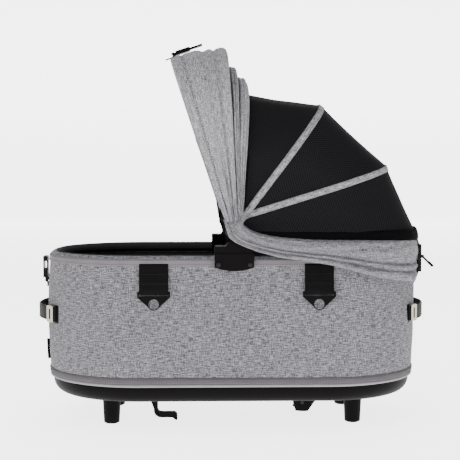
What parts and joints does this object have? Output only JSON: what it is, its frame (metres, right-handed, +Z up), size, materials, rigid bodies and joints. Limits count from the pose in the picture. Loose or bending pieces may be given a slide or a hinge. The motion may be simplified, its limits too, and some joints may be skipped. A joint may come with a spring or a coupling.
{
  "type": "pet stroller carrycot",
  "caption": "Carrycot of a pet stroller: soft oval body on a moulded base with feet and frame hooks, leather carry handles and a folding fabric and mesh hood.",
  "frame": {"origin": "centre of the bounding box at floor level, between the feet", "axes": "+X towards the hood end (rear), +Y to the right side, +Z up"},
  "size_m": [0.7159, 0.41, 0.6743],
  "materials": {
    "fabric_grey": "matte",
    "fabric_taupe": "matte",
    "fabric_black": "matte",
    "mesh_black": "matte",
    "webbing_black": "satin",
    "piping_grey": "matte",
    "mat_grey": "matte",
    "leather_black": "satin",
    "keeper_metal": "satin",
    "plastic_black": "matte",
    "plastic_grey": "matte",
    "bow_plastic": "matte",
    "buckle_black": "satin",
    "rubber_black": "matte",
    "steel": "satin",
    "rim_aluminium": "satin",
    "board": "matte"
  },
  "bodies": {
    "cot": {"base_tray": "plastic_black", "foot_front_left": "plastic_black", "foot_front_right": "plastic_black", "foot_rear_left": "plastic_black", "foot_rear_right": "plastic_black", "foot_pads": "rubber_black", "base_screws": "steel", "frame_hooks": "plastic_black", "latch_housings": "plastic_black", "latch_springs": "steel", "floor_board": "board", "floor_mat": "mat_grey", "body_fabric": "fabric_grey", "wall_board": "board", "body_lining": "fabric_black", "rim_tube": "rim_aluminium", "rim_hem": "fabric_grey", "upper_binding": "fabric_taupe", "lower_binding": "fabric_taupe", "lower_piping": "piping_grey", "strap_webbing": "webbing_black", "front_handle": "leather_black", "rear_handle": "leather_black", "handle_keepers": "keeper_metal", "front_buckle_strap": "webbing_black", "rear_strap": "webbing_black", "rear_buckle": "buckle_black", "zip_slider": "plastic_black", "hinge_bracket_left": "plastic_black", "hinge_bracket_right": "plastic_black", "clamp_plates": "plastic_black", "bracket_screws": "steel", "hinge_pins": "steel", "hood_base_wire": "steel", "hood_skirt": "fabric_grey", "mesh_panel_rear": "mesh_black"},
    "latch": {"latch_jaws": "plastic_grey", "latch_shaft": "steel"},
    "buckle_front": {"front_buckle": "buckle_black"},
    "pull_zip": {"zip_pull": "plastic_black"},
    "tab_front_left": {"strap_tab_front_left": "plastic_black"},
    "tab_front_right": {"strap_tab_front_right": "plastic_black"},
    "tab_rear_left": {"strap_tab_rear_left": "plastic_black"},
    "tab_rear_right": {"strap_tab_rear_right": "plastic_black"},
    "bow_m2": {"mesh_bow_rear": "bow_plastic", "mesh_panel_middle": "mesh_black"},
    "bow_m1": {"mesh_bow_middle": "bow_plastic", "mesh_panel_front": "mesh_black"},
    "bow_m0": {"mesh_bow_front": "bow_plastic"},
    "bow_f2": {"fan_bow_rear": "bow_plastic", "fan_panel_rear": "fabric_grey"},
    "bow_f1": {"fan_bow_front": "bow_plastic", "fan_panel_middle": "fabric_grey"},
    "bow_f0": {"front_bow": "bow_plastic", "front_bow_levers": "plastic_black", "fan_panel_front": "fabric_grey", "hood_clip_strap": "webbing_black"},
    "clip_hood": {"hood_clip": "buckle_black"}
  },
  "joints": [
    {"name": "hood_rear_bow", "type": "hinge", "parent": "cot", "child": "bow_m2", "pos_m": [-0.0165, 0, 0.345], "axis": [0, 1, 0], "range_deg": [0, 10.34], "deforming": ["mesh_panel_rear"]},
    {"name": "hood_fold", "type": "hinge", "parent": "bow_m2", "child": "bow_m1", "pos_m": [-0.0165, 0, 0.345], "axis": [0, 1, 0], "range_deg": [0, 24.8], "deforming": ["mesh_panel_middle"]},
    {"name": "hood_mesh_bow", "type": "hinge", "parent": "bow_m1", "child": "bow_m0", "pos_m": [-0.0165, 0, 0.345], "axis": [0, 1, 0], "range_deg": [0, 20.11], "deforming": ["mesh_panel_front"]},
    {"name": "hood_fan_rear", "type": "hinge", "parent": "bow_m0", "child": "bow_f2", "pos_m": [-0.0165, 0, 0.345], "axis": [0, 1, 0], "range_deg": [-27.01, 0]},
    {"name": "hood_front", "type": "hinge", "parent": "bow_f2", "child": "bow_f1", "pos_m": [-0.0165, 0, 0.345], "axis": [0, 1, 0], "range_deg": [-31.9, 0]},
    {"name": "hood_front_bow", "type": "hinge", "parent": "bow_f1", "child": "bow_f0", "pos_m": [-0.0165, 0, 0.345], "axis": [0, 1, 0], "range_deg": [-18.71, 0]},
    {"name": "hood_clip_flip", "type": "hinge", "parent": "bow_f0", "child": "clip_hood", "pos_m": [-0.11308, 0, 0.65433], "axis": [0, 1, 0], "range_deg": [-120, 0]},
    {"name": "front_buckle_flip", "type": "hinge", "parent": "cot", "child": "buckle_front", "pos_m": [-0.3425, 0, 0.248], "axis": [0, 1, 0], "range_deg": [-110, 0]},
    {"name": "zip_pull_swing", "type": "hinge", "parent": "cot", "child": "pull_zip", "pos_m": [0.3385, -0.024, 0.29], "axis": [0, 1, 0], "range_deg": [-90, 40]},
    {"name": "latch_turn", "type": "hinge", "parent": "cot", "child": "latch", "pos_m": [0.1115, 0, 0.043], "axis": [0, 1, 0], "range_deg": [0, 25], "stiffness_Nm_per_rad": 0.3, "springref_deg": -11.46},
    {"name": "tab_front_left_swing", "type": "hinge", "parent": "cot", "child": "tab_front_left", "pos_m": [-0.1435, -0.189, 0.242], "axis": [-1, 0, 0], "range_deg": [0, 100]},
    {"name": "tab_front_right_swing", "type": "hinge", "parent": "cot", "child": "tab_front_right", "pos_m": [-0.1435, 0.189, 0.242], "axis": [1, 0, 0], "range_deg": [0, 100]},
    {"name": "tab_rear_left_swing", "type": "hinge", "parent": "cot", "child": "tab_rear_left", "pos_m": [0.1345, -0.189, 0.242], "axis": [-1, 0, 0], "range_deg": [0, 100]},
    {"name": "tab_rear_right_swing", "type": "hinge", "parent": "cot", "child": "tab_rear_right", "pos_m": [0.1345, 0.189, 0.242], "axis": [1, 0, 0], "range_deg": [0, 100]}
  ],
  "couplings": [
    {"joint": "hood_rear_bow", "follows": "hood_fold", "ratio": 0.4164},
    {"joint": "hood_mesh_bow", "follows": "hood_fold", "ratio": 0.8104},
    {"joint": "hood_fan_rear", "follows": "hood_front", "ratio": 0.8464},
    {"joint": "hood_front_bow", "follows": "hood_front", "ratio": 0.5862}
  ]
}
